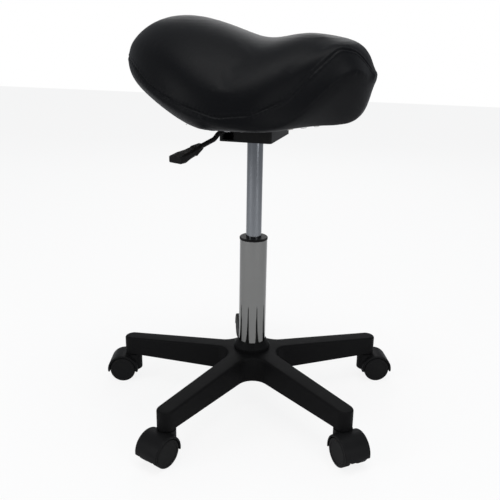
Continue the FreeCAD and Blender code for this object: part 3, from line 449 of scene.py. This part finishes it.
# %% The seam's line
BOARD_UNDERSIDE = 536 * MM
REAR_REACH = 219 * MM
FRONT_REACH = 203 * MM
HALF_WIDTH = 188 * MM
SEAM_HEIGHTS = [(-1, 106), (-0.8, 94), (-0.6, 66), (-0.34, 42), (-0.05, 24), (0.2, 28), (0.42, 49),
                (0.59, 90), (0.74, 123), (0.86, 118), (1, 83)]
SEAM_SPREAD = [(-1, 0.15), (-0.94, 0.35), (-0.8, 0.6), (-0.6, 0.81), (-0.34, 0.955), (-0.07, 0.985),
               (0.2, 0.92), (0.42, 0.73), (0.59, 0.55), (0.74, 0.38), (0.86, 0.24), (1, 0.07)]


def eased(knots, places):
    """Smooth curve through the knots: straight interpolation, then a running average."""
    fine = np.linspace(-1, 1, 401)
    line = np.interp(fine, [k[0] for k in knots], [k[1] for k in knots])
    window = np.hanning(23)
    padded = np.pad(line, 11, mode="reflect", reflect_type="odd")
    return np.interp(places, fine, np.convolve(padded, window / window.sum(), mode="valid"))


def seam_loop(count=600):
    places = np.linspace(-1, 1, count)
    x = np.where(places < 0, places * REAR_REACH, places * FRONT_REACH)
    y = eased(SEAM_SPREAD, places) * HALF_WIDTH
    z = BOARD_UNDERSIDE + eased(SEAM_HEIGHTS, places) * MM
    near = np.column_stack([x, -y, z])
    far = np.column_stack([x, y, z])[::-1]
    loop = []
    for side, other in ((near, far), (far, near)):
        loop.extend(side)
        steps = max(2, int(np.linalg.norm(other[0] - side[-1]) / 0.001))
        loop.extend(side[-1] + (other[0] - side[-1]) * (k / steps) for k in range(1, steps))
    return np.array(loop)


seam = seam_loop()
print("seam points:", len(seam))

# %% Cover, foam and board as one skin
VOXEL = 4.5 * MM
START_INSET = 2.5 * MM


def applied(thing):
    """Replaces a thing's mesh by what its modifiers make of it."""
    graph = bpy.context.evaluated_depsgraph_get()
    mesh = bpy.data.meshes.new_from_object(thing.evaluated_get(graph))
    thing.modifiers.clear()
    old = thing.data
    thing.data = mesh
    bpy.data.meshes.remove(old)
    return thing


def points_of(mesh):
    flat = np.empty(len(mesh.vertices) * 3)
    mesh.vertices.foreach_get("co", flat)
    return flat.reshape(-1, 3)


def set_points(mesh, points):
    mesh.vertices.foreach_set("co", np.ascontiguousarray(points).ravel())
    mesh.update()


def normals_of(mesh):
    flat = np.empty(len(mesh.vertices) * 3)
    mesh.vertex_normals.foreach_get("vector", flat)
    return flat.reshape(-1, 3)


skin = mesh_from(merged("seat_cover", "seat_foam", "seat_board"), "saddle_cushion")
cushion = placed("saddle_cushion", skin)
remesh = cushion.modifiers.new("even_skin", "REMESH")
remesh.mode = "VOXEL"
remesh.voxel_size = VOXEL
applied(cushion)
set_points(cushion.data, points_of(cushion.data) - normals_of(cushion.data) * START_INSET)
print("cushion skin:", len(cushion.data.vertices), "points")

# %% Swell it with the seam and the underside held
PRESSURE = 4.0
SWELL_CAP = 4.5 * MM
SIM_FRAMES = 20
SEAM_HELD = 5 * MM
LEATHER = {
    "quality": 6,
    "mass": 0.4,
    "tension_stiffness": 30,
    "compression_stiffness": 30,
    "shear_stiffness": 15,
    "bending_stiffness": 6,
}

seam_tree = point_tree(seam)


def seam_gap(points):
    return np.array([seam_tree.find(p)[2] for p in points])


def underside_share(mesh):
    """1 where the skin faces down, fading to 0 up the sides."""
    return np.clip((-normals_of(mesh)[:, 2] - 0.55) / 0.3, 0, 1)


def swell(thing):
    start = points_of(thing.data)
    held = thing.vertex_groups.new(name="held")
    seam_grip = np.clip(1.6 - seam_gap(start) / SEAM_HELD, 0, 1)
    grip = np.maximum(underside_share(thing.data), seam_grip)
    for k, weight in enumerate(grip):
        held.add([k], float(weight), "REPLACE")
    cloth = thing.modifiers.new("swell", "CLOTH")
    for name, value in LEATHER.items():
        setattr(cloth.settings, name, value)
    cloth.settings.use_pressure = True
    cloth.settings.uniform_pressure_force = PRESSURE
    cloth.settings.vertex_group_mass = "held"
    cloth.settings.effector_weights.gravity = 0
    cloth.point_cache.frame_start = 1
    cloth.point_cache.frame_end = SIM_FRAMES
    for number in range(1, SIM_FRAMES + 1):
        bpy.context.scene.frame_set(number)
    applied(thing)
    bpy.context.scene.frame_set(1)
    thing.vertex_groups.clear()
    shift = points_of(thing.data) - start
    length = np.linalg.norm(shift, axis=1, keepdims=True)
    shift *= np.minimum(1, SWELL_CAP / np.maximum(length, 1e-9))
    set_points(thing.data, start + shift)
    print("swelled by up to", round(float(length.max()) * 1000, 1), "mm, kept to", SWELL_CAP * 1000)


swell(cushion)

# %% Sculpted corrections
# Each: middle x and z, reach along x, reach across y and along z, and the move down or up.
TOUCHES = [
    ("dip in the crown", 0.028, 0.68, 0.036, 0.09, 0.05, -0.004),
    ("top of the cantle", -0.125, 0.70, 0.06, 0.13, 0.04, 0.003),
    ("corner under the nose", 0.165, 0.555, 0.035, 0.08, 0.022, -0.006),
]


def touch_up(thing):
    points = points_of(thing.data)
    for _, x, z, reach_x, reach_y, reach_z, move in TOUCHES:
        far = ((points[:, 0] - x) / reach_x) ** 2
        far = far + (points[:, 1] / reach_y) ** 2
        far = far + ((points[:, 2] - z) / reach_z) ** 2
        points[:, 2] += move * np.exp(-far)
    set_points(thing.data, points)


touch_up(cushion)

# %% [markdown]
# One subdivision gives a smooth skin. Next to the seam the skin is divided again, because the
# sewn groove is narrower than a voxel. The groove, the rolled edges beside it and the small
# puckers that the thread pulls are vertex moves along the normals.

# %% Seam, crease and puckers
GROOVE_DEPTH = 1.3 * MM
GROOVE_WIDTH = 1.3 * MM
ROLL_HEIGHT = 0.5 * MM
ROLL_AT = 3.6 * MM
ROLL_WIDTH = 1.6 * MM
FINE_BAND = 8 * MM
PUCKER = 0.14 * MM
PUCKER_EVERY = 9 * MM
PUCKER_REACH = 7 * MM
SLOW_PUCKER = 2.7


def refine_near_seam(thing):
    shape = bmesh.new()
    shape.from_mesh(thing.data)
    close = {v for v in shape.verts if seam_tree.find(v.co)[2] < FINE_BAND}
    edges = [e for e in shape.edges if e.verts[0] in close and e.verts[1] in close]
    bmesh.ops.subdivide_edges(shape, edges=edges, cuts=2, use_grid_fill=True)
    shape.to_mesh(thing.data)
    shape.free()


def relaxed(thing, rounds):
    """Evens out the remesh's steps without shrinking the form."""
    even = thing.modifiers.new("even", "LAPLACIANSMOOTH")
    even.iterations = rounds
    even.lambda_factor = 0.35
    even.use_volume_preserve = True
    applied(thing)


relaxed(cushion, 6)
divide = cushion.modifiers.new("divide", "SUBSURF")
divide.levels = 1
divide.render_levels = 1
applied(cushion)
refine_near_seam(cushion)


def bell(distance, width):
    """1 at no distance, fading smoothly over the width."""
    return np.exp(-((distance / width) ** 2))


def sew(thing):
    points = points_of(thing.data)
    normals = normals_of(thing.data)
    found = [seam_tree.find(p) for p in points]
    gap = np.array([f[2] for f in found])
    step = float(np.linalg.norm(np.diff(seam, axis=0), axis=1).mean())
    along = np.array([f[1] for f in found]) * step
    groove = -GROOVE_DEPTH * bell(gap, GROOVE_WIDTH)
    rolls = ROLL_HEIGHT * bell(gap - ROLL_AT, ROLL_WIDTH)
    waves = along * 2 * np.pi / PUCKER_EVERY
    uneven = np.sin(waves) + 0.6 * np.sin(waves / SLOW_PUCKER + 1)
    puckers = PUCKER * uneven * bell(gap, PUCKER_REACH)
    underneath = np.clip(underside_share(thing.data) - 0.2, 0, 1)
    move = (groove + rolls + puckers) * (1 - underneath)
    set_points(thing.data, points + normals * move[:, None])


sew(cushion)

# %% The mouth under the board
PAN_ROOM = 2 * MM
MOUTH_DEPTH = 6 * MM
pan_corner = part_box("mounting_pan")[1]
PAN_CLEAR_X = pan_corner[0] + PAN_ROOM
PAN_CLEAR_Y = pan_corner[1] + PAN_ROOM


def open_mouth(thing):
    """Lifts the skin above the board's underside wherever the dust cloth or the pan covers it."""
    cloth_mesh = bmesh.new()
    cloth_mesh.from_mesh(frame["nodes"]["dust_cover"].data)
    cover = BVHTree.FromBMesh(cloth_mesh)
    cloth_mesh.free()
    points = points_of(thing.data)
    facing = normals_of(thing.data)[:, 2]
    lifted = 0
    for k, point in enumerate(points):
        if facing[k] > -0.3:
            continue
        hit = cover.ray_cast(Vector((point[0], point[1], 0)), Vector((0, 0, 1)))[0]
        in_pan = abs(point[0]) < PAN_CLEAR_X and abs(point[1]) < PAN_CLEAR_Y
        if hit is None and not in_pan:
            continue
        level = hit.z if hit is not None else BOARD_UNDERSIDE
        points[k, 2] = max(point[2], level + MOUTH_DEPTH)
        lifted += 1
    set_points(thing.data, points)
    print("skin points above the board:", lifted)


open_mouth(cushion)
shade_smooth(cushion.data)
cushion.data.materials.clear()
cushion.data.materials.append(FINISHES["cover"])
hand_over(cushion, "seat_cover", "seat_foam")
print("cushion:", len(cushion.data.polygons), "faces")

# %% [markdown]
# Under the board a thin black cloth is stapled over the raw wood. It is stretched between the
# staples but still hangs a little in between.

# %% Dust cloth
CLOTH_EDGE = 9 * MM
CLOTH_SAG = 1.3 * MM
CLOTH_THICKNESS = 0.5 * MM
HELD_RIM = 30 * MM


def split_long_edges(shape, limit):
    for _ in range(8):
        long_edges = [e for e in shape.edges if e.calc_length() > limit]
        if not long_edges:
            break
        bmesh.ops.subdivide_edges(shape, edges=long_edges, cuts=1)
        bmesh.ops.triangulate(shape, faces=shape.faces)


def make_dust_cloth():
    """The cloth as a mesh with its thickness, and the area that it was cut to."""
    shape = merged("dust_cover")
    upper = [f for f in shape.faces if f.normal.z > -0.5]
    bmesh.ops.delete(shape, geom=upper, context="FACES")
    split_long_edges(shape, CLOTH_EDGE)
    rim_tree = point_tree([v.co for v in shape.verts if v.is_boundary])
    for vert in shape.verts:
        inward = min(1.0, rim_tree.find(vert.co)[2] / HELD_RIM)
        ripple = 0.25 * math.sin(vert.co.x * 190 + 3 * math.sin(vert.co.y * 60))
        vert.co.z -= CLOTH_SAG * inward * (1 + ripple)
    area = sum(f.calc_area() for f in shape.faces)
    cloth = placed("dust_cloth", mesh_from(shape, "dust_cloth"))
    thick = cloth.modifiers.new("thickness", "SOLIDIFY")
    thick.thickness = CLOTH_THICKNESS
    thick.offset = -1
    applied(cloth)
    shade_smooth(cloth.data)
    cloth.data.materials.append(FINISHES["dust_cloth"])
    return cloth, area


dust_cloth, cloth_area = make_dust_cloth()
# The rear of the cloth climbs with the board, so its cut is longer than it looks from below.
plan_length, cloth_width, rear_rise = np.ptp(points_of(dust_cloth.data), axis=0).tolist()
hand_over(dust_cloth, "dust_cover")

# %% [markdown]
# Thirty-six staples hold the cover and the cloth. One staple is modelled, and a Geometry Nodes
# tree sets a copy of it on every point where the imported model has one.

# %% Staples
STAPLE_CROWN = 10 * MM
STAPLE_WIRE = 0.95 * MM
STAPLE_DIVE = 1.6 * MM
WIRE_SIDES = 6
CROWN_BAND = 3.2 * MM


def one_staple():
    """The crown of one staple: a rounded wire that dives into the leather at its two ends."""
    shape = bmesh.new()
    half, wire, dive = STAPLE_CROWN / 2, STAPLE_WIRE / 2, STAPLE_DIVE
    path = [(-half, dive), (-half, 0.2 * MM), (-half + 0.5 * MM, -0.25 * MM), (0, -0.35 * MM),
            (half - 0.5 * MM, -0.25 * MM), (half, 0.2 * MM), (half, dive)]
    rings = []
    for k, (x, z) in enumerate(path):
        before, after = path[max(k - 1, 0)], path[min(k + 1, len(path) - 1)]
        lean = math.atan2(after[1] - before[1], after[0] - before[0])
        ring = []
        for corner in range(WIRE_SIDES):
            turn = math.radians(360 / WIRE_SIDES * corner)
            out = wire * math.cos(turn)
            place = (x - out * math.sin(lean), wire * math.sin(turn), z + out * math.cos(lean))
            ring.append(shape.verts.new(place))
        rings.append(ring)
    for first, second in zip(rings, rings[1:]):
        for corner in range(WIRE_SIDES):
            following = (corner + 1) % WIRE_SIDES
            shape.faces.new((first[corner], second[corner], second[following], first[following]))
    shape.faces.new(rings[0])
    shape.faces.new(list(reversed(rings[-1])))
    bmesh.ops.recalc_face_normals(shape, faces=shape.faces)
    mesh = mesh_from(shape, "one_staple")
    shade_smooth(mesh)
    return placed("one_staple", mesh)


def staple_places():
    """Middle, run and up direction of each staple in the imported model."""
    shape = merged("cover_staples")
    left = set(shape.verts)
    places = []
    while left:
        group, queue = [], [left.pop()]
        while queue:
            vert = queue.pop()
            group.append(vert.co.copy())
            for edge in vert.link_edges:
                other = edge.other_vert(vert)
                if other in left:
                    left.remove(other)
                    queue.append(other)
        cloud = np.array(group)
        low = cloud[cloud[:, 2] < cloud[:, 2].min() + CROWN_BAND]
        middle = low.mean(axis=0)
        run = np.linalg.svd(low - middle, full_matrices=False)[2][0]
        up = cloud.mean(axis=0) - middle
        up -= run * (up @ run)
        places.append((middle, run, up / np.linalg.norm(up)))
    shape.free()
    return places


def staple_tree(staple):
    """Points with their directions in, staples out."""
    tree = bpy.data.node_groups.new("staples_on_points", "GeometryNodeTree")
    tree.interface.new_socket("Points", in_out="INPUT", socket_type="NodeSocketGeometry")
    size = tree.interface.new_socket("Staple size", in_out="INPUT", socket_type="NodeSocketFloat")
    tree.interface.new_socket("Staples", in_out="OUTPUT", socket_type="NodeSocketGeometry")
    nodes, links = tree.nodes, tree.links
    start = nodes.new("NodeGroupInput")
    end = nodes.new("NodeGroupOutput")
    source = nodes.new("GeometryNodeObjectInfo")
    source.inputs["Object"].default_value = staple
    lay = nodes.new("FunctionNodeAxesToRotation")
    lay.primary_axis = "X"
    lay.secondary_axis = "Z"
    for attribute, axis in (("run", "Primary Axis"), ("up", "Secondary Axis")):
        direction = nodes.new("GeometryNodeInputNamedAttribute")
        direction.data_type = "FLOAT_VECTOR"
        direction.inputs["Name"].default_value = attribute
        links.new(direction.outputs["Attribute"], lay.inputs[axis])
    copies = nodes.new("GeometryNodeInstanceOnPoints")
    links.new(start.outputs["Points"], copies.inputs["Points"])
    links.new(source.outputs["Geometry"], copies.inputs["Instance"])
    links.new(lay.outputs["Rotation"], copies.inputs["Rotation"])
    links.new(start.outputs["Staple size"], copies.inputs["Scale"])
    real = nodes.new("GeometryNodeRealizeInstances")
    links.new(copies.outputs["Instances"], real.inputs["Geometry"])
    finish = nodes.new("GeometryNodeSetMaterial")
    finish.inputs["Material"].default_value = FINISHES["zinc_steel"]
    links.new(real.outputs["Geometry"], finish.inputs["Geometry"])
    links.new(finish.outputs["Geometry"], end.inputs["Staples"])
    return tree, size.identifier


places = staple_places()
dots = bpy.data.meshes.new("staple_dots")
dots.from_pydata([p[0] for p in places], [], [])
for name, column in (("run", 1), ("up", 2)):
    layer = dots.attributes.new(name, "FLOAT_VECTOR", "POINT")
    layer.data.foreach_set("vector", np.array([p[column] for p in places]).ravel())
staples = placed("staple_row", dots)
model_staple = one_staple()
tree, size_input = staple_tree(model_staple)
row = staples.modifiers.new("row", "NODES")
row.node_group = tree
row[size_input] = 1.0
applied(staples)
bpy.data.objects.remove(model_staple)
hand_over(staples, "cover_staples")
print("staples:", len(places), "faces", len(staples.data.polygons))
